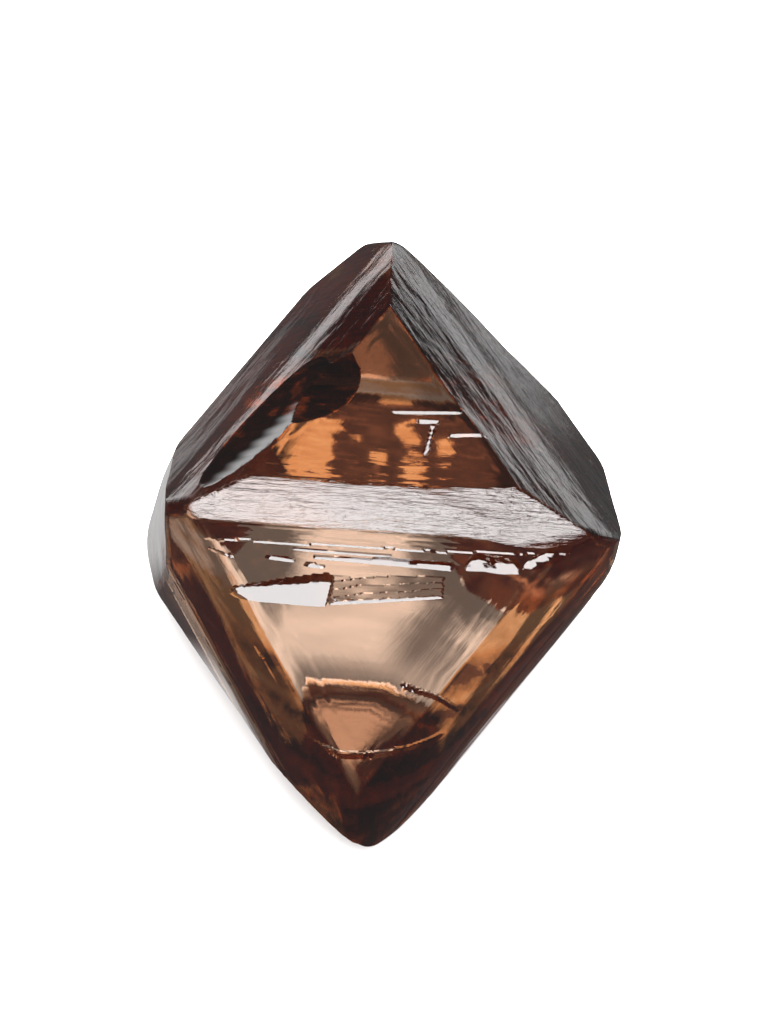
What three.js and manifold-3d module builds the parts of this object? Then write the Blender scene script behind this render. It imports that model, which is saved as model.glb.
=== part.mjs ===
// A natural diamond crystal: one octahedron that lies on one of its faces.
// Millimetres, +Z up. The crystal is drawn in its own cube axes a, b, c, with its centre at 0,
// and is then turned so that the face with all three signs minus lies on the ground.
import * as THREE from "three";
import { mergeVertices } from "three/addons/utils/BufferGeometryUtils.js";
import Module from "manifold-3d";

const wasm = await Module();
wasm.setup();

// Faces: the signs of a, b and c in the face's normal, how far the face lies from the centre,
// and how many growth plates are stacked on it.
const FACES = [
  { name: "upper_front", signs: [1, 1, 1], reach: 3.46, plates: 3 },
  { name: "lower_front", signs: [1, 1, -1], reach: 3.37, plates: 4 },
  { name: "upper_left", signs: [1, -1, 1], reach: 3.55, plates: 3 },
  { name: "lower_left", signs: [1, -1, -1], reach: 3.47, plates: 3 },
  { name: "upper_right", signs: [-1, 1, 1], reach: 3.69, plates: 3 },
  { name: "lower_right", signs: [-1, 1, -1], reach: 3.4, plates: 3 },
  { name: "upper_back", signs: [-1, -1, 1], reach: 3.4, plates: 4 },
  { name: "resting", signs: [-1, -1, -1], reach: 3.4, plates: 2 },
];

// Edges: each one is worn and stepped into a long rounded band. The signs give the direction that
// the band faces, and reach is how far the middle of the band lies from the centre.
const BANDS = [
  { signs: [1, 1, 0], reach: 3.9 },
  { signs: [1, -1, 0], reach: 3.7 },
  { signs: [-1, 1, 0], reach: 3.9 },
  { signs: [-1, -1, 0], reach: 3.84 },
  { signs: [1, 0, 1], reach: 3.63 },
  { signs: [1, 0, -1], reach: 3.77 },
  { signs: [-1, 0, 1], reach: 3.42 },
  { signs: [-1, 0, -1], reach: 3.8 },
  { signs: [0, 1, 1], reach: 3.37 },
  { signs: [0, 1, -1], reach: 3.79 },
  { signs: [0, -1, 1], reach: 3.85 },
  { signs: [0, -1, -1], reach: 3.64 },
];
const BAND_RADIUS = 2.6; // how strongly a band is rounded across
const BAND_FACETS = [-11, -5, 0, 5, 11]; // degrees that its long facets turn from its middle

// Growth plates: each is a thin rounded triangle that stops short of the band by one more inset.
const PLATE_RISE = 0.045; // thickness of one plate
const PLATE_INSET = 0.17; // from one plate's rim to the next
const FIRST_INSET = 0.06; // from the band to the lowest plate's rim
const PLATE_EMBED = 0.3; // how far a plate reaches down into the body
const PLATE_POINTS = 54; // points round a plate's rim
const RIM_WANDER = 0.035; // share of the radius by which a rim wanders
const CORNER_SHARPNESS = 9; // the higher, the sharper a plate's corners

// Conchoidal chips along the upper left edge, the middle of the crystal's left side.
const CHIPS = [
  { at: [2.62, 0.98, 2.38], along: 1.05, across: 0.74, deep: 0.3 },
  { at: [3.55, 0.86, 1.62], along: 1.15, across: 0.5, deep: 0.24 },
  { at: [4.5, 0.62, 0.82], along: 0.95, across: 0.34, deep: 0.18 },
];
const CHIP_LIFT = 0.12; // the scoop's centre lies this far outside the surface

// A short cleavage notch in the lower front face, just under the front band.
const NOTCH = { at: [3.47, 1.32, -1.18], length: 1.7, height: 0.54, depth: 0.3 };

// Etch pits: three-sided hollows on the flat faces, pointing the opposite way to their face.
const PIT_STEPS = [
  { across: 0.42, round: 0.9, size: 0.2, depth: 0.05 },
  { across: 0.75, round: 2.7, size: 0.13, depth: 0.04 },
  { across: 0.95, round: 4.6, size: 0.16, depth: 0.045 },
  { across: 0.2, round: 5.6, size: 0.1, depth: 0.03 },
];

const TURN = 4.5; // degrees about the vertical, so that the front edge band faces -Y
const REST_CENTRE = [-0.08, 0.13]; // where the crystal's centre stands over the ground, X and Y
const REST_HEIGHT = FACES.find((face) => face.name === "resting").reach;
const LARGE = 30; // side of the blocks that cut the flat faces

const unit = (signs) => new THREE.Vector3(...signs).normalize();

// A closed geometry as a solid, placed by a matrix.
function solid(geometry, matrix = new THREE.Matrix4()) {
  const bare = geometry.clone().applyMatrix4(matrix);
  bare.deleteAttribute("normal");
  bare.deleteAttribute("uv");
  const merged = mergeVertices(bare, 1e-5);
  return new wasm.Manifold(
    new wasm.Mesh({
      numProp: 3,
      vertProperties: new Float32Array(merged.attributes.position.array),
      triVerts: new Uint32Array(merged.index.array),
    }),
  );
}

// A matrix whose third axis is the given normal and whose first axis lies near the given hint.
function facing(normal, hint, position) {
  const side = hint.clone().addScaledVector(normal, -hint.dot(normal)).normalize();
  const other = new THREE.Vector3().crossVectors(normal, side);
  return new THREE.Matrix4().makeBasis(side, other, normal).setPosition(position);
}

// Everything below the plane at the given reach along a normal, as a large block.
function below(normal, reach) {
  const hint = Math.abs(normal.z) < 0.9 ? new THREE.Vector3(0, 0, 1) : new THREE.Vector3(1, 0, 0);
  const centre = normal.clone().multiplyScalar(reach - LARGE / 2);
  return solid(new THREE.BoxGeometry(LARGE, LARGE, LARGE), facing(normal, hint, centre));
}

// A band's own directions: straight out, across it towards one of its faces, and along its edge.
function bandFrame(signs) {
  const middle = unit(signs);
  const across = unit(signs.map((sign) => (sign === 0 ? 1 : 0)));
  const along = new THREE.Vector3().crossVectors(across, middle);
  return { middle, across, along };
}

// The space inside all twelve rounded bands: planes that touch an arc round each edge.
function insideBands() {
  let inside = solid(new THREE.BoxGeometry(LARGE, LARGE, LARGE));
  for (const { signs, reach } of BANDS) {
    const { middle, across } = bandFrame(signs);
    for (const degrees of BAND_FACETS) {
      const turn = THREE.MathUtils.degToRad(degrees);
      const normal = middle.clone().multiplyScalar(Math.cos(turn));
      normal.addScaledVector(across, Math.sin(turn));
      const distance = (reach - BAND_RADIUS) * Math.cos(turn) + BAND_RADIUS;
      inside = inside.intersect(below(normal, distance));
    }
  }
  return inside;
}

// The directions in a face's plane that point at its three edges, one for each axis.
function towardsEdges(signs) {
  const normal = unit(signs);
  return signs.map((sign, axis) => {
    const out = new THREE.Vector3().setComponent(axis, -sign);
    return out.addScaledVector(normal, -out.dot(normal)).normalize();
  });
}

// How far a face's middle lies from each of its three bands, measured in the face.
function bandDistances({ signs, reach }) {
  return signs.map((_, axis) => {
    const edge = signs.map((sign, i) => (i === axis ? 0 : sign));
    const band = BANDS.find((one) => one.signs.every((sign, i) => sign === edge[i]));
    return (band.reach - reach * Math.sqrt(2 / 3)) * Math.sqrt(3);
  });
}

// A plate's outline: a triangle with rounded corners whose rim wanders a little.
function plateOutline(distances, bearings, phase) {
  const outline = new THREE.Shape();
  for (let i = 0; i < PLATE_POINTS; i += 1) {
    const angle = (2 * Math.PI * i) / PLATE_POINTS;
    let sum = 0;
    distances.forEach((distance, side) => {
      const towards = Math.max(0, Math.cos(angle - bearings[side]));
      sum += (towards / distance) ** CORNER_SHARPNESS;
    });
    const wander = Math.sin(5 * angle + phase) + 0.6 * Math.sin(11 * angle + 2.3 * phase);
    const radius = (1 - RIM_WANDER * (1 + 0.5 * wander)) / sum ** (1 / CORNER_SHARPNESS);
    const point = [radius * Math.cos(angle), radius * Math.sin(angle)];
    if (i === 0) outline.moveTo(...point);
    else outline.lineTo(...point);
  }
  outline.closePath();
  return outline;
}

// The stack of growth plates on one face.
function platesOn(face, index) {
  const normal = unit(face.signs);
  const edges = towardsEdges(face.signs);
  const side = edges[0];
  const other = new THREE.Vector3().crossVectors(normal, side);
  const bearings = edges.map((edge) => Math.atan2(edge.dot(other), edge.dot(side)));
  const distances = bandDistances(face);
  const base = face.reach - face.plates * PLATE_RISE;
  let stack = null;
  for (let i = 0; i < face.plates; i += 1) {
    const inset = FIRST_INSET + i * PLATE_INSET;
    const rims = distances.map((distance, axis) => distance - inset * (1 + 0.25 * axis));
    const height = PLATE_EMBED + (i + 1) * PLATE_RISE;
    const plate = new THREE.ExtrudeGeometry(
      plateOutline(rims, bearings, index * 1.7 + i * 0.9),
      { depth: height, bevelEnabled: false },
    );
    const foot = normal.clone().multiplyScalar(base - PLATE_EMBED);
    const placed = solid(plate, facing(normal, side, foot));
    stack = stack ? stack.add(placed) : placed;
  }
  return stack;
}

// The crystal before any damage: flat faces and stacked plates, cut back by the rounded bands.
function grownCrystal() {
  let grown = solid(new THREE.BoxGeometry(LARGE, LARGE, LARGE));
  for (const { signs, reach, plates } of FACES) {
    grown = grown.intersect(below(unit(signs), reach - plates * PLATE_RISE));
  }
  FACES.forEach((face, index) => {
    grown = grown.add(platesOn(face, index));
  });
  return grown.intersect(insideBands());
}

// The shell-shaped scoops that broke out along the upper left edge.
function chips() {
  const run = bandFrame([1, 0, 1]).along;
  const outward = new THREE.Vector3(1, 0.35, 1);
  outward.addScaledVector(run, -outward.dot(run)).normalize();
  let all = null;
  for (const chip of CHIPS) {
    const centre = new THREE.Vector3(...chip.at).addScaledVector(outward, CHIP_LIFT);
    const place = facing(outward, run, centre);
    place.scale(new THREE.Vector3(chip.along, chip.across, chip.deep + CHIP_LIFT));
    const scoop = solid(new THREE.SphereGeometry(1, 28, 18), place);
    all = all ? all.add(scoop) : scoop;
  }
  return all;
}

// The notch's bottom is parallel to the front band, and its upper wall stands square to it.
function notch() {
  const front = unit([1, 1, 0]);
  const along = unit([1, -1, 0]);
  const centre = new THREE.Vector3(...NOTCH.at);
  centre.addScaledVector(front, NOTCH.depth / 2);
  return solid(
    new THREE.BoxGeometry(NOTCH.length, NOTCH.height, NOTCH.depth),
    facing(front, along, centre),
  );
}

// Three-sided etch pits on the faces, sunk from the top of each face's uppermost plate.
function pits() {
  let all = null;
  FACES.forEach((face, index) => {
    const normal = unit(face.signs);
    const edges = towardsEdges(face.signs);
    const side = edges[index % 3];
    const other = new THREE.Vector3().crossVectors(normal, side);
    for (const pit of PIT_STEPS) {
      const turn = pit.round + index * 1.3;
      const centre = normal.clone().multiplyScalar(face.reach);
      centre.addScaledVector(side, pit.across * Math.cos(turn));
      centre.addScaledVector(other, pit.across * Math.sin(turn));
      const cone = new THREE.ConeGeometry(pit.size, 2 * pit.depth, 3);
      cone.rotateX(-Math.PI / 2);
      const hollow = solid(cone, facing(normal, edges[0], centre));
      all = all ? all.add(hollow) : hollow;
    }
  });
  return all;
}

// The solid as a mesh geometry, with flat shading so that every facet shows.
function geometryOf(made) {
  const mesh = made.getMesh();
  const geometry = new THREE.BufferGeometry();
  geometry.setAttribute("position", new THREE.BufferAttribute(mesh.vertProperties, 3));
  geometry.setIndex(new THREE.BufferAttribute(mesh.triVerts, 1));
  geometry.computeVertexNormals();
  return geometry;
}

const brownDiamond = new THREE.MeshStandardMaterial({
  color: 0x8a5a3a,
  roughness: 0.06,
  metalness: 0,
  flatShading: true,
});

const crystal = new THREE.Mesh(
  geometryOf(grownCrystal().subtract(chips()).subtract(notch()).subtract(pits())),
  brownDiamond,
);
crystal.name = "diamond_crystal";

// The mesh lies with its resting face down: the cube axes' space diagonal is vertical.
const across = new THREE.Vector3(-1, 1, 0).normalize();
const away = new THREE.Vector3(-1, -1, 2).normalize();
const up = new THREE.Vector3(1, 1, 1).normalize();
const lying = new THREE.Matrix4().makeBasis(across, away, up).transpose();
crystal.quaternion.setFromRotationMatrix(lying);

const group = new THREE.Group();
group.rotation.z = THREE.MathUtils.degToRad(TURN);
group.position.set(REST_CENTRE[0], REST_CENTRE[1], REST_HEIGHT);
group.add(crystal);

export default group;
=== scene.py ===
import math

import bmesh
import bpy
import numpy as np
from mathutils import Matrix, Vector


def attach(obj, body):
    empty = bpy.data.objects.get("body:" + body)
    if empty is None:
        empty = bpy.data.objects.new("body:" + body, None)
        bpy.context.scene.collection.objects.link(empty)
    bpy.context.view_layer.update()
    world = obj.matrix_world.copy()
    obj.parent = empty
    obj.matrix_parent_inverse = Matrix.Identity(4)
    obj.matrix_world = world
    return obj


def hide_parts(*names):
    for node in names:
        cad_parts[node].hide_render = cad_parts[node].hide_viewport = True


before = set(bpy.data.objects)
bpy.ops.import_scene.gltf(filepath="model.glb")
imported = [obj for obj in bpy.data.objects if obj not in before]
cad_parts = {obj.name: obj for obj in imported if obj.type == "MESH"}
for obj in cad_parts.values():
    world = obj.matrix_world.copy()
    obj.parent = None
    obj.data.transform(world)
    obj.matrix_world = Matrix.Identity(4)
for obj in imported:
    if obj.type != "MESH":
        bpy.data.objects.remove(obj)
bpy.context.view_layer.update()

# The crystal: one natural octahedron of clear brown diamond, about 10 mm from apex to apex.
# It grew as flat triangular plates on eight faces, and weathering rounded its twelve edges into
# striated bands. Lengths in this section are in millimetres, until the mesh is made in metres.

MM = 0.001

# The cube axes a, b, c of the crystal: its space diagonal stands upright, because it lies on
# a face, and it is turned so that its front edge band faces -Y.
TURN = math.radians(4.5)
REST_CENTRE = np.array([-0.08, 0.13, 3.4])
DIAGONAL_UP = np.array([
    [-1 / math.sqrt(2), 1 / math.sqrt(2), 0],
    [-1 / math.sqrt(6), -1 / math.sqrt(6), 2 / math.sqrt(6)],
    [1 / math.sqrt(3), 1 / math.sqrt(3), 1 / math.sqrt(3)],
])
TURNED = np.array([
    [math.cos(TURN), -math.sin(TURN), 0],
    [math.sin(TURN), math.cos(TURN), 0],
    [0, 0, 1],
])
LYING = TURNED @ DIAGONAL_UP

# How far each face, and the middle of each edge band, lies from the centre.
FACES = {
    "upper_front": ((1, 1, 1), 3.46),
    "lower_front": ((1, 1, -1), 3.37),
    "upper_left": ((1, -1, 1), 3.55),
    "lower_left": ((1, -1, -1), 3.5),
    "upper_right": ((-1, 1, 1), 3.77),
    "lower_right": ((-1, 1, -1), 3.4),
    "upper_back": ((-1, -1, 1), 3.32),
    "resting": ((-1, -1, -1), 3.4),
}
BANDS = {
    (1, 1, 0): 3.9,
    (1, -1, 0): 3.72,
    (-1, 1, 0): 3.84,
    (-1, -1, 0): 4.0,
    (1, 0, 1): 3.65,
    (1, 0, -1): 3.77,
    (-1, 0, 1): 3.5,
    (-1, 0, -1): 4.04,
    (0, 1, 1): 3.55,
    (0, 1, -1): 3.685,
    (0, -1, 1): 3.91,
    (0, -1, -1): 3.64,
}
# A band is round to this radius, up to this turn to either side of its middle.
BAND_RADIUS = 2.6
BAND_TURN = math.radians(11)
# Fine ridges run along the bands, so high in millimetres; the other bands are smoother.
RIDGES = {
    (1, 1, 0): 0.004,
    (0, 1, 1): 0.004,
    (1, 0, 1): 0.002,
}
SMOOTH_RIDGES = 0.0015
# Sizes along and across the edge: of a ridge, of the way the ridges wander, and of a broad swell
# under them.
RIDGE_SIZE = (0.7, 0.1)
WANDER_SIZE = (0.6, 0.5)
SWELL_SIZE = (1.6, 0.7)
RIDGE_WANDER = 0.08
SWELL_HEIGHT = 0.012
# The front band turns downwards towards its right end and widens there. Each row is where that
# starts and ends along the edge, and then the turn in radians, or how much the radius shrinks.
TWIST = (0.4, 1.6, 0.075)
WIDENING = (1.0, 2.8, 0.07)
# These edges pass into their faces in a soft round, so wide in depth; the others are crisp.
SOFT_EDGES = {
    (1, 0, -1): 0.1,
    (0, 1, -1): 0.35,
    (1, -1, 0): 0.06,
    (-1, 1, 0): 0.06,
}
# Small flats round off four of the six corners, so far from the centre along each axis, and pass
# into the bands over this depth.
CORNERS = {
    (0, 0, 1): 4.97,
    (0, 0, -1): 5.22,
    (1, 0, 0): 5.15,
    (0, 1, 0): 5.3,
}
CORNER_BLEND = 0.1
# The skin's grid has so many cells on each side, and it is moved so far forwards.
CELLS = 316
FRONT_CROWDING = 0.2
# Faces, and bands or corners, reach as far round as these cosines to their middle. Where they
# don't reach, their length is FAR.
FACE_LEAST = 0.3
BAND_LEAST = 0.5
FAR = 1000.0


def unit(vector):
    """The same direction with length one."""
    vector = np.asarray(vector, float)
    return vector / np.linalg.norm(vector)


def smooth(low, high, x):
    """0 below low, 1 above high, and 3t^2 - 2t^3 of the share of the way between them."""
    t = np.clip((x - low) / (high - low), 0, 1)
    return t * t * (3 - 2 * t)


def between(x, low, high):
    """True where x lies between low and high."""
    return (x > low) & (x < high)


def wave_noise(x, y, seed, octaves=3):
    """Lattice noise around 0: random values from -1 to 1 at whole numbers, blended smoothly
    between, with each octave half as large and twice as fine as the one before."""
    side = 64
    x = np.asarray(x, float)
    y = np.asarray(y, float) + np.zeros_like(x)
    total = np.zeros(x.shape)
    size = 1.0
    for octave in range(octaves):
        table = np.random.default_rng(seed + 17 * octave).uniform(-1, 1, (side, side))
        gx = np.floor(x * size).astype(int)
        gy = np.floor(y * size).astype(int)
        fx = x * size - gx
        fy = y * size - gy
        fx = fx * fx * (3 - 2 * fx)
        fy = fy * fy * (3 - 2 * fy)
        next_x = (gx + 1) % side
        next_y = (gy + 1) % side
        low = table[gx % side, gy % side] * (1 - fx) + table[next_x, gy % side] * fx
        high = table[gx % side, next_y] * (1 - fx) + table[next_x, next_y] * fx
        total = total + (low * (1 - fy) + high * fy) / size
        size *= 2
    return total


def ball_directions(u, v):
    """Directions over the whole ball from a square grid of u and v, each from -1 to 1: they
    point at an octahedron whose third axis is 1 - |u| - |v|, with the corners folded under
    where that is below 0. The octahedron is moved forwards, so that its lines stay parallel
    to the crystal's edges but lie closer together on the front."""
    w = 1 - np.abs(u) - np.abs(v)
    side_u = np.where(u < 0, -1, 1)
    side_v = np.where(v < 0, -1, 1)
    x = np.where(w < 0, (1 - np.abs(v)) * side_u, u)
    y = np.where(w < 0, (1 - np.abs(u)) * side_v, v)
    grid = np.stack([x, y, w], -1).reshape(-1, 3) + FRONT_CROWDING * unit((1, 1, 0.15))
    return grid / np.linalg.norm(grid, axis=1, keepdims=True)


def snap(u, v, levels):
    """Move grid points that lie less than half a cell from a crease onto it. Each level f is
    zero along its crease and g is its change from cell to cell, so a point moves -f g / |g|^2
    cells. The second part of each level says where it counts."""
    cell = 2 / CELLS
    moved = np.zeros(u.shape, bool)
    moved[[0, -1], :] = True
    moved[:, [0, -1]] = True
    new_u = u.copy()
    new_v = v.copy()
    for f, where in levels:
        f = f.reshape(u.shape)
        gu, gv = np.gradient(f)
        square = gu * gu + gv * gv + 1e-18
        diagonal = np.where(u * v > 0, np.abs(gu - gv), np.abs(gu + gv))
        reach = 0.5 * np.maximum(diagonal, np.maximum(np.abs(gu), np.abs(gv)))
        near = (np.abs(f) < reach) & ~moved & where.reshape(u.shape)
        new_u = np.where(near, u - f * gu / square * cell, new_u)
        new_v = np.where(near, v - f * gv / square * cell, new_v)
        moved |= near
    return new_u, new_v


def grid_triangles(u, v):
    """Two triangles for each cell, split along the line that runs parallel to the fold."""
    index = np.arange(u.size).reshape(u.shape)
    a = index[:-1, :-1].ravel()
    b = index[1:, :-1].ravel()
    c = index[1:, 1:].ravel()
    d = index[:-1, 1:].ravel()
    middle_u = (u[:-1, :-1] + u[1:, 1:]).ravel()
    middle_v = (v[:-1, :-1] + v[1:, 1:]).ravel()
    same = (middle_u * middle_v > 0)[:, None]
    first = np.where(same, np.stack([a, b, d], 1), np.stack([a, b, c], 1))
    second = np.where(same, np.stack([b, c, d], 1), np.stack([a, c, d], 1))
    return np.concatenate([first, second])


def towards_edges(signs):
    """The three directions in a face that point straight at its edges, one for each axis."""
    normal = unit(signs)
    rows = []
    for axis in range(3):
        out = np.zeros(3)
        out[axis] = -signs[axis]
        rows.append(unit(out - normal * (out @ normal)))
    return np.array(rows)


def band_distance(signs, reach, axis):
    """How far a face's middle lies from the band that replaces the edge on one side of it."""
    edge = tuple(0 if i == axis else signs[i] for i in range(3))
    return (BANDS[edge] - reach * math.sqrt(2 / 3)) * math.sqrt(3)


# Growth steps: near each edge the face drops a few hundredths of a millimetre, plate by plate.
# Each row is the inset from the band, the height, the width of the slope, and the wander, over
# lengths of RIM_WAVE.
RISERS = [
    (0.02, 0.02, 0.05, 0.03),
    (0.12, 0.012, 0.05, 0.05),
    (0.27, 0.01, 0.05, 0.07),
    (0.5, 0.008, 0.05, 0.1),
]
RIM_WAVE = 0.9
# On these faces the steps have only this share of their height.
LOW_STEPS = {"resting": 0.2, "upper_back": 0.25, "lower_front": 0.3, "upper_front": 0.4}


def stair(outside, along, seed):
    """Depth below a face's top plate: each riser adds its height where its rim is passed."""
    depth = np.zeros_like(outside)
    for number, (inset, height, width, wander) in enumerate(RISERS):
        shift = wave_noise(along / RIM_WAVE, 7.3 * number, seed + 31 * number)
        depth += height * smooth(-width / 2, width / 2, outside + inset + wander * shift)
    return depth


# Marks on the two front faces. East runs along the front edge, to the right in the picture,
# and ahead runs in the face towards the front edge. A nick has a floor that slopes down
# towards the front edge and a steep wall at its far end, so its floor catches the light.
# Each nick is a list of (east, start, end), from left to right.
EAST = unit((-1, 1, 0))
NICK_SLOPE = 0.66
# A nick's floor is slightly rough from a little way in, with a grain of this size east and ahead.
NICK_ROUGHNESS = 0.0035
NICK_GRAIN = (0.25, 0.1)
NICK_SMOOTH = 0.06
# A nick ends where it gets narrower than this.
NICK_LEAST = 0.012
# Walls stand this far off their lines, so that grid points on a line all fall on one side.
MARGIN = 0.004
NICKS = {
    "lower_front": [
        [(-3.12, 1.5, 1.5), (-3.02, 1.46, 1.5), (-2.6, 1.36, 1.41), (-2.5, 1.36, 1.36)],
        [(-2.1, 1.43, 1.43), (-1.95, 1.38, 1.44), (-1.6, 1.35, 1.4), (-1.5, 1.36, 1.36)],
        [(-1.4, 1.31, 1.31), (-1.3, 1.28, 1.35), (-1.1, 1.27, 1.32), (-1.0, 1.29, 1.29)],
        [
            (-1.47, 1.45, 1.47), (-0.6, 1.43, 1.5), (0.3, 1.41, 1.54),
            (1.06, 1.39, 1.55), (1.09, 1.45, 1.5),
        ],
        [(-2.3, 1.62, 1.62), (-1.2, 1.57, 1.61), (-0.2, 1.57, 1.6), (0.5, 1.62, 1.62)],
        [
            (1.3, 1.42, 1.5), (1.4, 1.42, 1.72), (1.6, 1.43, 1.76),
            (1.85, 1.4, 1.7), (2.1, 1.41, 1.68), (2.2, 1.42, 1.5),
        ],
        [
            (2.21, 1.5, 1.5), (2.4, 1.5, 1.72), (2.8, 1.62, 1.95),
            (3.1, 1.82, 2.05), (3.25, 2.05, 2.05),
        ],
        [
            (-2.62, 0.6, 0.62), (-2.5, 0.58, 0.78), (-2.2, 0.56, 0.87), (-1.6, 0.55, 1.02),
            (-1.12, 0.54, 1.15), (-0.95, 0.56, 1.16), (-0.9, 0.7, 1.1),
        ],
        [
            (-0.95, 0.58, 0.58), (-0.8, 0.6, 0.65), (0.2, 0.74, 0.79),
            (0.9, 0.85, 0.89), (1.0, 0.87, 0.87),
        ],
    ],
    "upper_front": [
        [
            (-0.25, 0.22, 0.22), (0.0, 0.2, 0.24), (0.5, 0.16, 0.205),
            (1.0, 0.12, 0.16), (1.15, 0.14, 0.14),
        ],
        [(0.34, 0.38, 0.38), (0.4, 0.35, 0.41), (0.68, 0.34, 0.39), (0.76, 0.36, 0.36)],
        [
            (0.84, 0.66, 0.66), (0.92, 0.62, 0.67), (1.3, 0.575, 0.62),
            (1.6, 0.55, 0.6), (1.74, 0.58, 0.58),
        ],
    ],
}


def nick_lines(nick, east):
    """The start and the end line of a nick, and where it is wide enough to count."""
    easts, starts, ends = np.array(nick).T
    start = np.interp(east, easts, starts)
    end = np.interp(east, easts, ends)
    return start, end, between(east, easts[0], easts[-1]) & (end - start > NICK_LEAST)


def nick_depth(nicks, east, ahead):
    """Depth of the nicks: from its start line a slightly uneven floor falls by the slope, up to
    the end line."""
    depth = np.zeros(east.shape)
    grain = wave_noise(east / NICK_GRAIN[0], ahead / NICK_GRAIN[1], 53, octaves=2)
    for nick in nicks:
        start, end, there = nick_lines(nick, east)
        there = there & between(ahead, start - MARGIN, end + MARGIN)
        inside = np.clip(ahead - start, 0, end - start)
        uneven = NICK_ROUGHNESS * grain * smooth(0, NICK_SMOOTH, inside)
        depth = np.where(there, inside * NICK_SLOPE + uneven, depth)
    return depth


def groove(east, ahead, route, width, deep):
    """A V-shaped crack along a route of straight pieces: deepest on it, none half a width off."""
    nearest = np.full(east.shape, FAR)
    for (x0, y0), (x1, y1) in zip(route[:-1], route[1:]):
        dx = x1 - x0
        dy = y1 - y0
        share = np.clip(((east - x0) * dx + (ahead - y0) * dy) / (dx * dx + dy * dy), 0, 1)
        nearest = np.minimum(nearest, np.hypot(east - x0 - share * dx, ahead - y0 - share * dy))
    return deep * np.clip(1 - nearest / (width / 2), 0, 1)


# The layered zone beside the broken-out chip: how far apart its layers are, how they slope, how
# far the zone runs east, and its start and end line, given at two places. The layers wander by
# this much, over these sizes east and ahead.
LAMINATE = 0.14
LAMINATE_SLOPE = 0.22
LAMINATE_RUN = (-0.88, 0.95)
LAMINATE_PLACES = (-0.94, 0.97)
LAMINATE_START = (0.66, 0.9)
LAMINATE_END = (1.14, 1.28)
LAMINATE_WANDER = 0.05
LAMINATE_WAVES = (0.8, 0.5)
# The plate edge under the front band: its route as (east, ahead), its height and width, and how
# far it wanders, over this length.
PLATE_EDGE = [(-3.2, 1.66), (-2.3, 1.68), (-1.4, 1.7), (0.2, 1.72), (1.1, 1.75), (3.5, 1.9)]
PLATE_HEIGHT = 0.02
PLATE_WIDTH = 0.03
PLATE_WANDER = 0.02
PLATE_WAVE = 0.3
# The cracks: a route as (east, ahead), a width and a depth. The last two are the shallow arc
# above the lower tip.
CRACKS = [
    ([(-2.96, 0.21), (-2.33, -0.22), (-1.92, -0.67)], 0.08, 0.05),
    ([(-2.2, -0.3), (-1.92, -0.67), (-1.67, -1.14)], 0.12, 0.08),
    ([(0.47, -0.85), (1.1, -1.11), (1.56, -1.5)], 0.11, 0.055),
    ([(0.0, -2.27), (0.7, -2.2), (1.34, -2.02)], 0.17, 0.035),
    ([(-1.17, -2.1), (-0.5, -2.25), (0.0, -2.27)], 0.17, 0.035),
]
# The stem of the T on the upper face: where it starts and ends ahead, how far east it starts and
# how it leans, half its width, and how far apart its plates are.
STEM_RUN = (0.49, 1.1)
STEM_EAST = 0.63
STEM_LEAN = -0.2
STEM_HALF = 0.035
STEM_PLATES = 0.12


def layers(east, ahead):
    """The layered zone: how far each point lies past its wavy start line, and where the zone
    is."""
    start = np.interp(east, LAMINATE_PLACES, LAMINATE_START)
    end = np.interp(east, LAMINATE_PLACES, LAMINATE_END)
    wave = wave_noise(east / LAMINATE_WAVES[0], ahead / LAMINATE_WAVES[1], 47)
    zone = between(east, *LAMINATE_RUN) & between(ahead, start, end)
    return ahead - start + LAMINATE_WANDER * wave, zone


def lower_front_marks(east, ahead):
    """The plate edge under the front band, the layered zone beside the broken-out chip, and
    the cracks. The layers are a saw: slopes of one width that end in small steps."""
    edge = np.interp(east, *np.transpose(PLATE_EDGE))
    wander = PLATE_WANDER * wave_noise(east / PLATE_WAVE, 0.5, 41)
    depth = PLATE_HEIGHT * smooth(0, PLATE_WIDTH, ahead - edge - wander)
    past, zone = layers(east, ahead)
    layer = np.mod(past + MARGIN, LAMINATE) - MARGIN
    depth += np.where(zone, LAMINATE_SLOPE * layer, 0)
    for route, width, deep in CRACKS:
        depth += groove(east, ahead, route, width, deep)
    return depth


def upper_front_marks(east, ahead):
    """The stem of the T, a short stack of plate edges."""
    line = STEM_EAST + STEM_LEAN * (ahead - STEM_RUN[0])
    stem = between(east, line - STEM_HALF, line + STEM_HALF) & between(ahead, *STEM_RUN)
    return np.where(stem, NICK_SLOPE * np.mod(ahead, STEM_PLATES), 0)


def face_depth(name, signs, reach, point):
    """How deep the surface lies under a face's own plane, at points in that plane."""
    towards = towards_edges(signs)
    distance = point @ towards.T
    depth = np.zeros(len(point))
    for axis in range(3):
        along = point @ np.cross(unit(signs), towards[axis])
        outside = distance[:, axis] - band_distance(signs, reach, axis)
        seed = 500 + 100 * axis + 7 * sum(s * (i + 2) for i, s in enumerate(signs))
        depth = np.maximum(depth, stair(outside, along, seed))
    depth *= LOW_STEPS.get(name, 1.0)
    east = point @ EAST
    if name == "lower_front":
        depth += lower_front_marks(east, distance[:, 2])
    if name == "upper_front":
        depth += upper_front_marks(east, distance[:, 2])
    if name in NICKS:
        depth += nick_depth(NICKS[name], east, distance[:, 2])
    return depth


def face_lengths(directions, name):
    """How far each direction runs from the centre to a face: reach less depth, over the cosine."""
    signs, reach = FACES[name]
    cosine = directions @ unit(signs)
    facing = cosine > FACE_LEAST
    length = np.full(len(directions), FAR)
    point = directions[facing] * (reach / cosine[facing])[:, None]
    length[facing] = (reach - face_depth(name, signs, reach, point)) / cosine[facing]
    return length


def band_axes(signs):
    """A band's own directions: straight out, across it, and along its edge."""
    middle = unit(signs)
    across = np.array([1.0 if s == 0 else 0.0 for s in signs])
    return middle, across, np.cross(across, middle)


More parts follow.
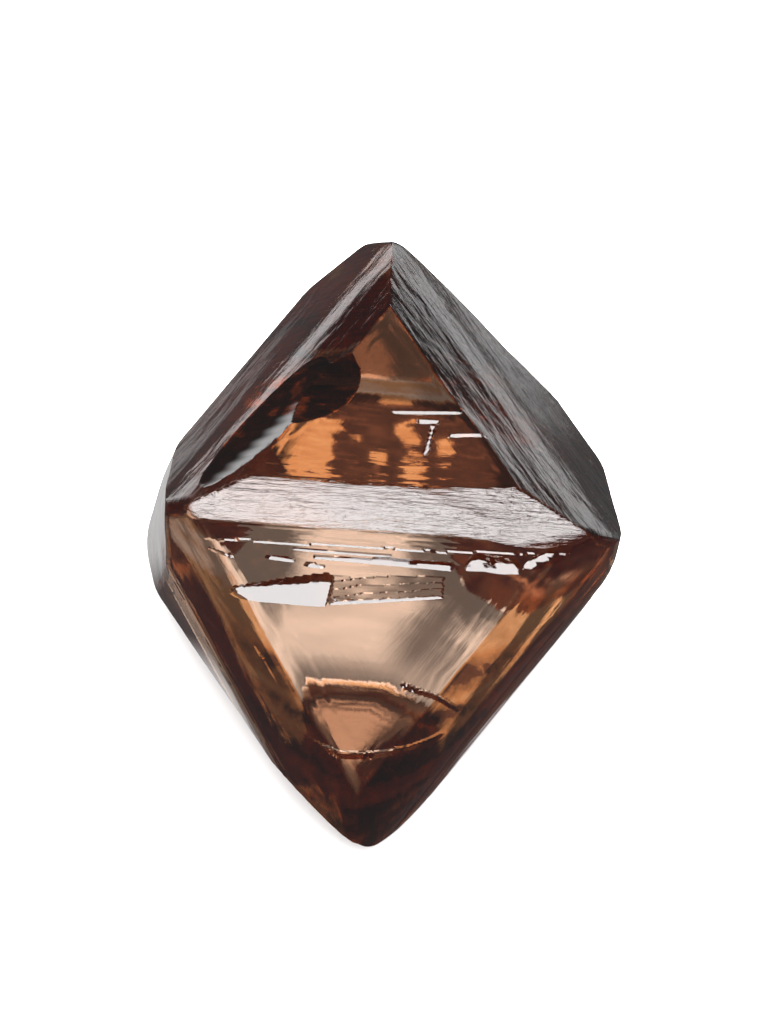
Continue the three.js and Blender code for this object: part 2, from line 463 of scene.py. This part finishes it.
def band_lengths(directions, signs):
    """How far each direction runs to a band: it meets the line that touches a circle drawn
    across the edge, at the turn where the circle itself would be met, up to a largest turn.
    The circle's centre lies one radius inside the band's middle, and fine ridges along the
    edge raise and lower its radius."""
    reach = BANDS[signs]
    middle, across, along = band_axes(signs)
    out = directions @ middle
    side = directions @ across
    run = directions @ along
    facing = out > BAND_LEAST
    length = np.full(len(directions), FAR)
    out, side, run = out[facing], side[facing], run[facing]
    if signs == (1, 1, 0):
        start, end, most = TWIST
        twist = most * smooth(start, end, directions[facing] @ EAST / out * reach)
        turned_out = out * np.cos(twist) - side * np.sin(twist)
        side = side * np.cos(twist) + out * np.sin(twist)
        out = turned_out
    at_side = side / out * reach
    at_run = run / out * reach
    seed = 900 + 13 * sum(s * (i + 1) for i, s in enumerate(signs))
    wander = wave_noise(at_run / WANDER_SIZE[0], at_side / WANDER_SIZE[1], seed + 9)
    ridge_place = (at_side + RIDGE_WANDER * wander) / RIDGE_SIZE[1]
    ridges = wave_noise(at_run / RIDGE_SIZE[0], ridge_place, seed, octaves=2)
    swell = wave_noise(at_run / SWELL_SIZE[0], at_side / SWELL_SIZE[1], seed + 5, octaves=2)
    radius = BAND_RADIUS + RIDGES.get(signs, SMOOTH_RIDGES) * ridges + SWELL_HEIGHT * swell
    if signs == (1, 1, 0):
        start, end, most = WIDENING
        radius = radius - most * smooth(start, end, directions[facing] @ EAST / out * reach)
    centre = reach - BAND_RADIUS
    square = out * out + side * side
    inner = (centre * out) ** 2 - square * (centre ** 2 - radius ** 2)
    circle = (centre * out + np.sqrt(inner)) / square
    turn = np.arctan2(circle * side, circle * out - centre)
    turn = np.clip(turn, -BAND_TURN, BAND_TURN)
    length[facing] = (centre * np.cos(turn) + radius) / (out * np.cos(turn) + side * np.sin(turn))
    return length


def soft_least(a, b, blend):
    """The smaller of two lengths, rounded where they cross: h is the share of a, and h(1 - h)
    times the blend comes off."""
    h = np.clip(0.5 + 0.5 * (b - a) / blend, 0, 1)
    return a * h + b * (1 - h) - blend * h * (1 - h)


# Two chips have flown off along the upper left edge and left shallow shell-shaped hollows with
# faint ripples. Each row is a hollow's middle, the way it runs, the way it faces, half its
# length, half its width and its depth under the plane of its rim.
CHIPS = [
    ((3.81, 0.118, 1.402), (0.722, -0.108, -0.684), (0.684, 0.266, 0.679), 1.71, 0.552, 0.035),
    ((2.661, 1.011, 2.224), (0.573, -0.82, -0.01), (0.653, 0.449, 0.61), 0.918, 0.609, 0.041),
]
# The middle of the ellipsoid that cuts a hollow lies this far above the plane of its rim.
CHIP_LIFT = 1.2
# The ripples: their height and spacing, and where they spread from, as a share of half the
# hollow's length behind its middle.
RIPPLE = 0.0006
RIPPLE_SPACING = 0.3
RIPPLE_START = 0.9


def carve_chips(directions, length):
    """Shorten each length to where its ray enters a chip's ellipsoid, if it leaves beyond the
    surface. The entry is the smaller root of |axes (t d - centre)| = 1. The ellipsoid's centre
    floats above the rim's plane, so its half axes are the rim's divided by sqrt(1 - (lift /
    height)^2)."""
    for middle, run, outward, half_run, half_over, deep in CHIPS:
        outward = unit(outward)
        run = unit(np.array(run) - outward * (np.array(run) @ outward))
        over = np.cross(run, outward)
        height = deep + CHIP_LIFT
        widen = math.sqrt(1 - (CHIP_LIFT / height) ** 2)
        centre = np.array(middle) + outward * CHIP_LIFT
        axes = np.stack([run / half_run * widen, over / half_over * widen, outward / height])
        along = directions @ axes.T
        offset = axes @ centre
        square = (along * along).sum(1)
        cross = along @ offset
        inner = cross * cross - square * (offset @ offset - 1)
        hit = inner > 0
        root = np.sqrt(np.where(hit, inner, 0))
        near = (cross - root) / square
        far = (cross + root) / square
        place = directions * near[:, None] - np.array(middle)
        away = np.linalg.norm(place + run * half_run * RIPPLE_START, axis=1)
        near = near + RIPPLE * np.sin(2 * math.pi * away / RIPPLE_SPACING)
        length = np.where(hit & (near < length) & (far > length), near, length)
    return length


def skin_lengths(directions):
    """How far the skin lies along each direction before the chips are cut, and the lengths to
    all faces and to all bands. The skin is the least of them and of the corners."""
    faces = np.stack([face_lengths(directions, name) for name in FACES], 1)
    bands = np.stack([band_lengths(directions, signs) for signs in BANDS], 1)
    length = faces.min(1)
    for number, signs in enumerate(BANDS):
        if signs in SOFT_EDGES:
            length = soft_least(length, bands[:, number], SOFT_EDGES[signs])
        else:
            length = np.minimum(length, bands[:, number])
    for signs, reach in CORNERS.items():
        cosine = directions @ unit(signs)
        flat = np.where(cosine > BAND_LEAST, reach / np.maximum(cosine, BAND_LEAST), FAR)
        length = soft_least(length, flat, CORNER_BLEND)
    return length, faces, bands


# Nick lines count on a face up to this far above the skin, creases between faces and bands up to
# this length, and the rims of chips up to this one, which lies outside the whole skin.
CREASE_ABOVE = 0.4
CREASE_REACH = 10
CHIP_REACH = 5.5
CHIP_OUTSIDE = 5.6


def crease_levels(directions):
    """The lines that grid points snap to: where each nick starts and ends, where each chip
    breaks the skin, and where each crisp face or band meets its neighbours."""
    length, faces, bands = skin_lengths(directions)
    levels = []
    for number, (name, (signs, reach)) in enumerate(FACES.items()):
        if name in NICKS:
            cosine = directions @ unit(signs)
            facing = cosine > FACE_LEAST
            point = directions * (reach / np.where(facing, cosine, 1.0))[:, None]
            on_face = facing & (faces[:, number] <= length + CREASE_ABOVE)
            east = point @ EAST
            ahead = point @ towards_edges(signs)[2]
            for nick in NICKS[name]:
                start, end, there = nick_lines(nick, east)
                levels.append((ahead - start, there & on_face))
                levels.append((ahead - end, there & on_face))
            if name == "lower_front":
                past, zone = layers(east, ahead)
                levels.append((past - LAMINATE * np.round(past / LAMINATE), zone & on_face))
    cut = carve_chips(directions, np.full(len(directions), CHIP_OUTSIDE))
    levels.append((cut - length, cut < CHIP_REACH))
    every = np.concatenate([faces, bands], 1)
    ordered = np.sort(every, 1)
    for number in range(every.shape[1]):
        own = every[:, number]
        rival = np.where(own <= ordered[:, 0], ordered[:, 1], ordered[:, 0])
        soft = number >= len(FACES) and list(BANDS)[number - len(FACES)] in SOFT_EDGES
        if not soft:
            levels.append((own - rival, own < CREASE_REACH))
    return levels


line = np.linspace(-1, 1, CELLS + 1)
u, v = np.meshgrid(line, line, indexing="ij")
triangles = grid_triangles(u, v)
u, v = snap(u, v, crease_levels(ball_directions(u, v)))
directions = ball_directions(u, v)
uncut, face_all, band_all = skin_lengths(directions)
face_least = face_all.min(1)
length = carve_chips(directions, uncut)
points = directions * length[:, None]

mesh = bpy.data.meshes.new("crystal_skin")
mesh.from_pydata(((points @ LYING.T + REST_CENTRE) * MM).tolist(), [], triangles.tolist())
mesh.update()

# Striations follow the bands: the pattern's two directions are along and across the nearest
# band, in millimetres, and a second map says how frosted the surface is.
band_of = np.argmin(band_all, 1)[triangles[:, 0]]
corner_band = np.repeat(band_of, 3)
corner_point = points[triangles.ravel()]
acrosses = np.array([band_axes(signs)[1] for signs in BANDS])[corner_band]
alongs = np.array([band_axes(signs)[2] for signs in BANDS])[corner_band]
striation = mesh.uv_layers.new(name="striation")
striation_uv = np.stack([(corner_point * alongs).sum(1), (corner_point * acrosses).sum(1)], 1)
striation.data.foreach_set("uv", striation_uv.ravel())

# How frosted each band is, with its rim this wide, and how frosted the others and the faces are.
FROSTED = {
    (1, 1, 0): 1.25,
    (0, 1, 1): 0.45,
    (1, 0, 1): 0.2,
    (1, -1, 0): 0.5,
    (-1, 1, 0): 0.3,
}
FROST_RIM = (-0.01, 0.02)
FROST_ELSEWHERE = 0.12
FACE_FROST = 0.06
# The ridged bands on both sides above are tinted brown by the film map, and those below and behind
# a faint orange. Below the middle the tint lies in streaks, and it gets darker towards the lower
# tip, as painted shade.
FILMED = {
    (0, 1, 1): 0.75,
    (1, 0, 1): 0.42,
    (0, 1, -1): 0.12,
    (1, 0, -1): 0.1,
    (-1, -1, 0): 0.12,
}
# The film's rim on a band, the depth over which the streaks set in, how strong and how large
# they are, how much thicker the film gets towards the lower tip, as painted shade, and over which
# depth, and its rim in a chip.
FILM_RIM = (-0.005, 0.01)
FILM_BELOW = (0.0, 0.3)
FILM_STREAKS = 0.7
FILM_STREAK_SIZE = (0.3, 1.2)
TIP_SHADE_GROWTH = 3.0
TIP_SHADE_DEPTHS = (1.2, 3.0)
CHIP_RIM = (0.0, 0.003)
band_film_and_tip_shade = np.zeros(len(points))
frost = np.zeros(len(points))
for number, signs in enumerate(BANDS):
    share = FROSTED.get(signs, FROST_ELSEWHERE)
    on_band = face_least - band_all[:, number]
    others = np.delete(band_all, number, 1).min(1)
    on_band = np.minimum(on_band, others - band_all[:, number])
    frost = np.maximum(frost, share * smooth(*FROST_RIM, on_band))
    band_film_and_tip_shade = np.maximum(band_film_and_tip_shade, FILMED.get(signs, 0) * smooth(*FILM_RIM, on_band))
below = smooth(*FILM_BELOW, -points[:, 2])
forward = points @ unit((1, 1, 0)) / FILM_STREAK_SIZE[0]
streak = wave_noise(forward, points[:, 2] / FILM_STREAK_SIZE[1], 89, octaves=2)
# Towards the lower tip the film thickens into painted shade.
streaked_tip_shade = (1 + FILM_STREAKS * streak) * (1 + TIP_SHADE_GROWTH * smooth(*TIP_SHADE_DEPTHS, -points[:, 2]))
band_film_and_tip_shade = np.maximum(band_film_and_tip_shade * (1 + below * (streaked_tip_shade - 1)), 0)
chip_cut = smooth(*CHIP_RIM, uncut - length)
frost = np.maximum(frost, FACE_FROST) * (1 - chip_cut)
attribute = mesh.attributes.new("frost", "FLOAT", "POINT")
attribute.data.foreach_set("value", frost.astype(np.float32))

# A dark brown film on the face that the crystal lies on is painted shade: it darkens the pool of
# light beneath, as seen through the crystal. Thin patches in it let that pool through as painted
# orange glow. Each row is the middle of a patch and half its size along X and Y. Their rims are
# ragged, in a grain of this size. The broken surface of the chips holds the same film, there as
# painted shade.
FILM_HEIGHT = 0.006
FILM_IN_GLOW_PATCHES = 0.32
PAINTED_GLOW_PATCHES = [
    ((-1.5, 0.72), (0.68, 0.62)),
    ((-1.35, 1.3), (0.46, 0.38)),
    ((-0.25, 0.78), (0.17, 0.24)),
    ((0.17, 1.5), (0.2, 0.32)),
    ((0.33, 0.7), (0.2, 0.27)),
    ((-0.08, 2.2), (0.26, 0.2)),
    ((0.0, 2.7), (0.13, 0.13)),
    ((-1.6, 1.95), (0.26, 0.34)),
    ((0.8, 1.15), (0.12, 0.22)),
]
PATCH_RIM = (1.1, 0.85)
PATCH_RAGGED = 0.65
PATCH_GRAIN = (0.3, 0.1)
under = points @ LYING.T + REST_CENTRE
glow_windows = np.zeros(len(points))
grain_places = under[:, :2] / PATCH_GRAIN
ragged = PATCH_RAGGED * wave_noise(grain_places[:, 0], grain_places[:, 1], 83)
for (x, y), (half_x, half_y) in PAINTED_GLOW_PATCHES:
    away = np.hypot((under[:, 0] - x) / half_x, (under[:, 1] - y) / half_y) + ragged
    glow_windows = np.maximum(glow_windows, smooth(*PATCH_RIM, away))
# Up to FILM_HEIGHT the film is painted shade, thinned to painted glow in the patches.
film_and_painted_shade = smooth(FILM_HEIGHT, FILM_HEIGHT * 0.7, under[:, 2]) * (1 - (1 - FILM_IN_GLOW_PATCHES) * glow_windows)
# The bands add their tint and tip shade, and the chips get the full film as painted shade.
film_and_painted_shade = np.maximum(np.maximum(film_and_painted_shade, band_film_and_tip_shade), chip_cut)
attribute = mesh.attributes.new("film_and_painted_shade", "FLOAT", "POINT")
attribute.data.foreach_set("value", film_and_painted_shade.astype(np.float32))

cleaner = bmesh.new()
cleaner.from_mesh(mesh)
bmesh.ops.remove_doubles(cleaner, verts=cleaner.verts, dist=1e-8)
bmesh.ops.recalc_face_normals(cleaner, faces=cleaner.faces)
cleaner.to_mesh(mesh)
cleaner.free()
mesh.polygons.foreach_set("use_smooth", np.ones(len(mesh.polygons), bool))
mesh.set_sharp_from_angle(angle=math.radians(5))

crystal = bpy.data.objects.new("crystal", mesh)
bpy.context.scene.collection.objects.link(crystal)

# The material is clear and brown all through: what is left of light on its way is exp(-(1 -
# colour) x density x metres). The striations are a bump, and the film map colours light that passes
# the surface, from clear over orange to nearly black where it is thick. Its nearly black end is
# painted shade, and its orange in the thin patches on the face it lies on is painted glow.
DIAMOND_IOR = 2.42
BROWN = (0.85, 0.56, 0.32, 1)
BROWN_DENSITY = 200.0
STRIATION_SCALE = (1.6, 14.0, 1.0)
STRIATION_HEIGHT = 0.000018
GRAIN_TURN = math.radians(-8)
GRAIN_SCALE = (1800, 11000, 3000)
GRAIN_CONTRAST = 1.4
GRAIN_LEAST = 0.3
CLEAR = (1, 1, 1, 1)
# Nearly black: painted shade.
PAINTED_SHADE_FILM = (0.004, 0.0008, 0.0003, 1)
FILM_COLOURS = [
    (0.12, (0.6, 0.26, 0.08, 1)),
    (0.35, (0.4, 0.11, 0.022, 1)),
    (0.6, (0.03, 0.006, 0.002, 1)),
]
diamond = bpy.data.materials.new("brown_diamond")
diamond.use_nodes = True
nodes = diamond.node_tree.nodes
links = diamond.node_tree.links
shader = nodes["Principled BSDF"]
shader.inputs["Roughness"].default_value = 0.0
shader.inputs["IOR"].default_value = DIAMOND_IOR
shader.inputs["Transmission Weight"].default_value = 1.0
absorb = nodes.new("ShaderNodeVolumeAbsorption")
absorb.inputs["Color"].default_value = BROWN
absorb.inputs["Density"].default_value = BROWN_DENSITY
links.new(absorb.outputs["Volume"], nodes["Material Output"].inputs["Volume"])

uv = nodes.new("ShaderNodeUVMap")
uv.uv_map = "striation"
stretch = nodes.new("ShaderNodeMapping")
stretch.inputs["Scale"].default_value = STRIATION_SCALE
links.new(uv.outputs["UV"], stretch.inputs["Vector"])
noise = nodes.new("ShaderNodeTexNoise")
noise.inputs["Scale"].default_value = 1.0
noise.inputs["Detail"].default_value = 4.0
noise.inputs["Roughness"].default_value = 0.6
links.new(stretch.outputs["Vector"], noise.inputs["Vector"])
frosted = nodes.new("ShaderNodeAttribute")
frosted.attribute_name = "frost"
height = nodes.new("ShaderNodeMath")
height.operation = "MULTIPLY"
links.new(noise.outputs["Fac"], height.inputs[0])
links.new(frosted.outputs["Fac"], height.inputs[1])
bump = nodes.new("ShaderNodeBump")
bump.inputs["Strength"].default_value = 1.0
bump.inputs["Distance"].default_value = STRIATION_HEIGHT
links.new(height.outputs["Value"], bump.inputs["Height"])
links.new(bump.outputs["Normal"], shader.inputs["Normal"])

place = nodes.new("ShaderNodeTexCoord")
grain = nodes.new("ShaderNodeMapping")
grain.inputs["Rotation"].default_value = (0, 0, GRAIN_TURN)
grain.inputs["Scale"].default_value = GRAIN_SCALE
links.new(place.outputs["Object"], grain.inputs["Vector"])
streaks = nodes.new("ShaderNodeTexNoise")
streaks.inputs["Scale"].default_value = 1.0
streaks.inputs["Detail"].default_value = 3.0
links.new(grain.outputs["Vector"], streaks.inputs["Vector"])
film_map = nodes.new("ShaderNodeAttribute")
film_map.attribute_name = "film_and_painted_shade"
streaked = nodes.new("ShaderNodeMath")
streaked.operation = "MULTIPLY_ADD"
streaked.inputs[1].default_value = GRAIN_CONTRAST
streaked.inputs[2].default_value = GRAIN_LEAST
links.new(streaks.outputs["Fac"], streaked.inputs[0])
film_here = nodes.new("ShaderNodeMath")
film_here.operation = "MULTIPLY"
film_here.use_clamp = True
links.new(film_map.outputs["Fac"], film_here.inputs[0])
links.new(streaked.outputs["Value"], film_here.inputs[1])
film_colour = nodes.new("ShaderNodeValToRGB")
stops = film_colour.color_ramp.elements
stops[0].position = 0.0
stops[0].color = CLEAR
stops[1].position = 1.0
stops[1].color = PAINTED_SHADE_FILM
for position, colour in FILM_COLOURS:
    stops.new(position).color = colour
links.new(film_here.outputs["Value"], film_colour.inputs["Fac"])
links.new(film_colour.outputs["Color"], shader.inputs["Base Color"])
mesh.materials.append(diamond)

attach(crystal, "root")
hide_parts("diamond_crystal")

# The floor: a plain pale table that the crystal lies on. It isn't part of the object. The eye sees
# it evenly pale. Rays that the crystal lets through or mirrors see painted light and shade on it
# instead: painted pools of light, of which one is underneath, and a painted strip of light that
# runs back, on painted dark. Places are in metres from the frame's origin, and brightness is
# radiance.

TABLE = (0.92, 0.92, 0.92, 1)
TABLE_SIZE = 3.0
AIR_GAP = -0.00002
# The painted strip of light that is seen through the crystal: its radiance, its middle, half its
# width at the origin, how that changes with each metre and its least, how torn its edges are and in
# what scale, how far they fade as shares of half the width, and where the strip starts. It fades to
# the last radiance between two distances behind.
PAINTED_STRIP = 1.75
STRIP_MIDDLE = -0.00065
STRIP_HALF = 0.0019
STRIP_NARROWING = -0.2
STRIP_LEAST = 0.0006
STRIP_TORN = 0.0011
STRIP_TORN_SCALE = 1400.0
STRIP_EDGE = (1.45, 0.85)
STRIP_START = (0.0025, 0.0035)
STRIP_FADE = (0.005, 0.011, 0.75)
# Slanted clouds of painted shade darken the strip by up to this share.
CLOUD_TURN = math.radians(35)
CLOUD_SCALE = (350, 1300, 1)
CLOUD_RANGE = (0.3, 0.7)
CLOUD_SHARE = 0.35
# Each painted pool of light is its middle, the radius of its full and of its faded part, and its
# radiance: those that are seen through the crystal first, then those that it mirrors. The pool
# underneath and the painted rim light are laid over the others, and everything else there is
# painted dark.
# Painted dark, seen through the crystal; then the painted pool of light underneath.
PAINTED_DARK_THROUGH = 0.2
PAINTED_POOL_UNDERNEATH = ((0, 0.0003, 0), 0.0017, 0.0019, 2.0)
PAINTED_SPOTS_THROUGH = [
    ((-0.0005, 0.0118, 0), 0.0022, 0.0042, 0.65),
    ((0.0068, 0.0115, 0), 0.0015, 0.003, 0.55),
    ((-0.0132, 0.0122, 0), 0.003, 0.0055, 2.0),
    ((-0.0004, 0.0021, 0), 0.0005, 0.0009, 0.4),
    ((0.0009, 0.0035, 0), 0.0004, 0.0012, 0.3),
    ((0, 0.032, 0), 0.015, 0.02, 0.5),
    ((0, 0.25, 0), 0.215, 0.235, 0.5),
    ((-0.0024, -0.0092, 0), 0.0018, 0.0036, 2.2),
    ((0.05, -0.05, 0), 0.02, 0.04, 0.7),
    ((0.034, 0.016, 0), 0.016, 0.024, 0.6),
    ((-0.0044, -0.0017, 0), 0.0006, 0.0014, 1.6),
]
# Painted dark, mirrored, a little lighter further back; then a painted rim of light.
PAINTED_DARK_MIRRORED = 0.08
PAINTED_BACK_MIRRORED = 0.14
BACK_START = (0.004, 0.008)
PAINTED_RIM_LIGHT = ((0, 0.0006, 0), 0.0029, 0.0034, 0.7)
PAINTED_SPOTS_MIRRORED = [
    ((-0.0042, 0.0031, 0), 0.001, 0.0022, 0.6),
    ((-0.01, 0.0126, 0), 0.0018, 0.0045, 0.6),
    ((0.005, 0.0145, 0), 0.0016, 0.0032, 1.0),
    ((0.055, 0.13, 0), 0.09, 0.098, 1.15),
]


def calculate(tree, operation, first, second=0.0, third=0.0):
    """A math node on three values, each a number or another node's output."""
    node = tree.nodes.new("ShaderNodeMath")
    node.operation = operation
    for socket, value in zip(node.inputs, (first, second, third)):
        if isinstance(value, (int, float)):
            socket.default_value = value
        else:
            tree.links.new(value, socket)
    return node.outputs["Value"]


def rise_between(tree, value, low, high):
    """0 below low, 1 above high, and smooth between. With low above high it falls instead."""
    node = tree.nodes.new("ShaderNodeMapRange")
    node.interpolation_type = "SMOOTHSTEP"
    node.inputs["From Min"].default_value = low
    node.inputs["From Max"].default_value = high
    tree.links.new(value, node.inputs["Value"])
    return node.outputs["Result"]


def round_area(tree, place, middle, inner, outer):
    """1 within the inner radius of a middle, 0 beyond the outer, and smooth between."""
    away = tree.nodes.new("ShaderNodeVectorMath")
    away.operation = "DISTANCE"
    away.inputs[1].default_value = middle
    tree.links.new(place, away.inputs[0])
    return rise_between(tree, away.outputs["Value"], outer, inner)


def ray_kinds(tree):
    """1 for a ray that last left a mirror-like surface, and 1 for one that last passed through."""
    path = tree.nodes.new("ShaderNodeLightPath").outputs
    mirror = calculate(tree, "SUBTRACT", path["Is Reflection Ray"], path["Is Diffuse Ray"])
    return calculate(tree, "MAXIMUM", mirror, 0.0), path["Is Transmission Ray"]


def choose(tree, share, first, second):
    """first where the share is 0, second where it is 1: first + share (second - first)."""
    return calculate(tree, "MULTIPLY_ADD", share, calculate(tree, "SUBTRACT", second, first), first)


bpy.ops.mesh.primitive_plane_add(size=TABLE_SIZE, location=(0, 0, AIR_GAP))
floor = bpy.context.object
floor.name = "floor"
table = bpy.data.materials.new("table_with_painted_light")
table.use_nodes = True
table.cycles.emission_sampling = "NONE"
tree = table.node_tree
place = tree.nodes.new("ShaderNodeTexCoord").outputs["Object"]
split = tree.nodes.new("ShaderNodeSeparateXYZ")
tree.links.new(place, split.inputs["Vector"])
east = split.outputs["X"]
north = split.outputs["Y"]

half = calculate(tree, "MULTIPLY_ADD", north, STRIP_NARROWING, STRIP_HALF)
half = calculate(tree, "MAXIMUM", half, STRIP_LEAST)
torn = tree.nodes.new("ShaderNodeTexNoise")
torn.inputs["Scale"].default_value = STRIP_TORN_SCALE
torn.inputs["Detail"].default_value = 3.0
tree.links.new(place, torn.inputs["Vector"])
off_strip = calculate(tree, "ABSOLUTE", calculate(tree, "SUBTRACT", east, STRIP_MIDDLE))
torn_off = calculate(tree, "SUBTRACT", torn.outputs["Fac"], 0.5)
off_strip = calculate(tree, "MULTIPLY_ADD", torn_off, STRIP_TORN, off_strip)
strip = rise_between(tree, calculate(tree, "DIVIDE", off_strip, half), *STRIP_EDGE)
strip = calculate(tree, "MULTIPLY", strip, rise_between(tree, north, *STRIP_START))
painted_strip_light = choose(tree, rise_between(tree, north, *STRIP_FADE[:2]), PAINTED_STRIP, STRIP_FADE[2])
slanted = tree.nodes.new("ShaderNodeMapping")
slanted.inputs["Rotation"].default_value = (0, 0, CLOUD_TURN)
slanted.inputs["Scale"].default_value = CLOUD_SCALE
tree.links.new(place, slanted.inputs["Vector"])
clouds = tree.nodes.new("ShaderNodeTexNoise")
clouds.inputs["Scale"].default_value = 1.0
clouds.inputs["Detail"].default_value = 4.0
tree.links.new(slanted.outputs["Vector"], clouds.inputs["Vector"])
cloud_shade = rise_between(tree, clouds.outputs["Fac"], *CLOUD_RANGE)
cloud_shade = calculate(tree, "MULTIPLY_ADD", cloud_shade, CLOUD_SHARE, 1 - CLOUD_SHARE)
painted_strip_light = calculate(tree, "MULTIPLY", painted_strip_light, cloud_shade)
through = choose(tree, strip, PAINTED_DARK_THROUGH, painted_strip_light)
for middle, inner, outer, radiance in PAINTED_SPOTS_THROUGH:
    through = choose(tree, round_area(tree, place, middle, inner, outer), through, radiance)
through = choose(tree, round_area(tree, place, *PAINTED_POOL_UNDERNEATH[:3]), through, PAINTED_POOL_UNDERNEATH[3])

behind = rise_between(tree, north, *BACK_START)
mirrored = choose(tree, behind, PAINTED_DARK_MIRRORED, PAINTED_BACK_MIRRORED)
for middle, inner, outer, radiance in PAINTED_SPOTS_MIRRORED:
    mirrored = choose(tree, round_area(tree, place, middle, inner, outer), mirrored, radiance)
mirrored = choose(tree, round_area(tree, place, *PAINTED_RIM_LIGHT[:3]), mirrored, PAINTED_RIM_LIGHT[3])

# Mirrored and passed-through rays see the painted light and shade above instead of the pale
# surface.
is_mirror, is_through = ray_kinds(tree)
light = tree.nodes.new("ShaderNodeEmission")
tree.links.new(choose(tree, is_mirror, through, mirrored), light.inputs["Strength"])
pale = tree.nodes["Principled BSDF"]
pale.inputs["Base Color"].default_value = TABLE
pale.inputs["Roughness"].default_value = 0.8
pale.inputs["Specular IOR Level"].default_value = 0.0
mixed = tree.nodes.new("ShaderNodeMixShader")
tree.links.new(calculate(tree, "MAXIMUM", is_mirror, is_through), mixed.inputs[0])
tree.links.new(pale.outputs[0], mixed.inputs[1])
tree.links.new(light.outputs[0], mixed.inputs[2])
tree.links.new(mixed.outputs[0], tree.nodes["Material Output"].inputs["Surface"])
floor.data.materials.append(table)

# Light: one soft box above the front and one overhead, in a pale room. The crystal mirrors the
# room as dark but for a lit wall behind, low over the table. Seen through it the room is dim but
# for a few reflectors.

ROOM_SEEN = 2.0
ROOM_MIRRORED = 0.06
# The wall fades out between these heights and these distances back, as parts of a direction.
WALL_MIRRORED = 1.7
WALL_TOP = (0.22, 0.1)
WALL_BACK = (0.3, 0.7)
ROOM_THROUGH = 0.2
# Each reflector is an azimuth from -Y towards +X, an elevation, the angles of its full and its
# faded part, and its radiance. The last one is a dark card.
REFLECTORS = [
    (92, 25, 6, 11, 2.3),
    (8, 36, 6, 12, 1.2),
    (-51, 37, 6, 12, 1.1),
    (40, 60, 6, 12, 1.0),
    (101, 4, 5, 10, 2.0),
    (180, 12, 14, 20, 2.4),
    (8, 62, 11, 14, 0.09),
]
world = bpy.data.worlds.new("room")
bpy.context.scene.world = world
world.use_nodes = True
tree = world.node_tree
heading = tree.nodes.new("ShaderNodeTexCoord").outputs["Generated"]
split = tree.nodes.new("ShaderNodeSeparateXYZ")
tree.links.new(heading, split.inputs["Vector"])
low = rise_between(tree, split.outputs["Z"], *WALL_TOP)
behind = rise_between(tree, split.outputs["Y"], *WALL_BACK)
mirrored = choose(tree, calculate(tree, "MULTIPLY", low, behind), ROOM_MIRRORED, WALL_MIRRORED)
through = ROOM_THROUGH
for azimuth, elevation, inner, outer, radiance in REFLECTORS:
    level = math.cos(math.radians(elevation))
    turn = math.radians(azimuth)
    middle = (level * math.sin(turn), -level * math.cos(turn), math.sin(math.radians(elevation)))
    part = round_area(tree, heading, middle, math.radians(inner), math.radians(outer))
    through = choose(tree, part, through, radiance)
is_mirror, is_through = ray_kinds(tree)
seen = choose(tree, is_through, ROOM_SEEN, through)
tree.links.new(choose(tree, is_mirror, seen, mirrored), tree.nodes["Background"].inputs["Strength"])
tree.nodes["Background"].inputs["Color"].default_value = (1, 1, 1, 1)


# The boxes are aimed at a point inside the crystal.
AIM_POINT = Vector((0, 0, 0.003))


def soft_box(name, azimuth, elevation, distance, size, radiance):
    """A rectangular light of that size in metres, seen from the crystal at that azimuth (from
    -Y towards +X) and elevation in degrees, and turned to face it. Its power is radiance x pi x
    area."""
    light = bpy.data.lights.new(name, "AREA")
    light.shape = "RECTANGLE"
    light.size, light.size_y = size
    light.energy = radiance * math.pi * size[0] * size[1]
    lamp = bpy.data.objects.new(name, light)
    bpy.context.scene.collection.objects.link(lamp)
    level = math.cos(math.radians(elevation)) * distance
    turn = math.radians(azimuth)
    high = math.sin(math.radians(elevation)) * distance
    place = (level * math.sin(turn), -level * math.cos(turn), high)
    lamp.location = place
    aim = AIM_POINT - Vector(place)
    lamp.rotation_euler = aim.to_track_quat("-Z", "Y").to_euler()
    lamp.visible_camera = False
    lamp.visible_transmission = False
    return lamp


soft_box("front_box", 4, 60, 0.3, (0.2, 0.27), 4.3)
overhead = soft_box("overhead_box", 0, 90, 0.3, (0.22, 0.22), 16.0)
overhead.visible_glossy = False

# Camera: it looks down on the lying crystal, so that the crystal stands on its apex in the
# picture. There its centre is at CENTRE_PIXEL, and 10 millimetres are 599 pixels.

IMAGE = (761, 1024)
PIXEL = 10.0 / 599 * MM
CENTRE_PIXEL = (378.3, 537.4)
ELEVATION = math.radians(49.2)
ROLL = math.radians(7.4)
DISTANCE = 0.25
back = np.array([0, -math.cos(ELEVATION), math.sin(ELEVATION)])
level = np.array([1.0, 0, 0])
rise = np.cross(back, level)
right = level * math.cos(ROLL) + rise * math.sin(ROLL)
upward = np.cross(back, right)
aim = REST_CENTRE * MM - right * (CENTRE_PIXEL[0] - IMAGE[0] / 2) * PIXEL
aim = aim - upward * (IMAGE[1] / 2 - CENTRE_PIXEL[1]) * PIXEL
eye = aim + back * DISTANCE
lens = bpy.data.cameras.new("camera")
lens.sensor_width = 36
lens.lens = lens.sensor_width * DISTANCE / (IMAGE[1] * PIXEL)
lens.clip_start = 0.001
camera = bpy.data.objects.new("camera", lens)
camera.matrix_world = Matrix([
    [*map(float, (right[0], upward[0], back[0], eye[0]))],
    [*map(float, (right[1], upward[1], back[1], eye[1]))],
    [*map(float, (right[2], upward[2], back[2], eye[2]))],
    [0, 0, 0, 1],
])
bpy.context.scene.collection.objects.link(camera)
bpy.context.scene.camera = camera

scene = bpy.context.scene
scene.view_settings.view_transform = "Standard"
cycles = scene.cycles
cycles.max_bounces = 32
cycles.transmission_bounces = 32
cycles.glossy_bounces = 24
cycles.diffuse_bounces = 4
cycles.caustics_refractive = True
cycles.caustics_reflective = True
cycles.use_denoising = True
cycles.sample_clamp_indirect = 10
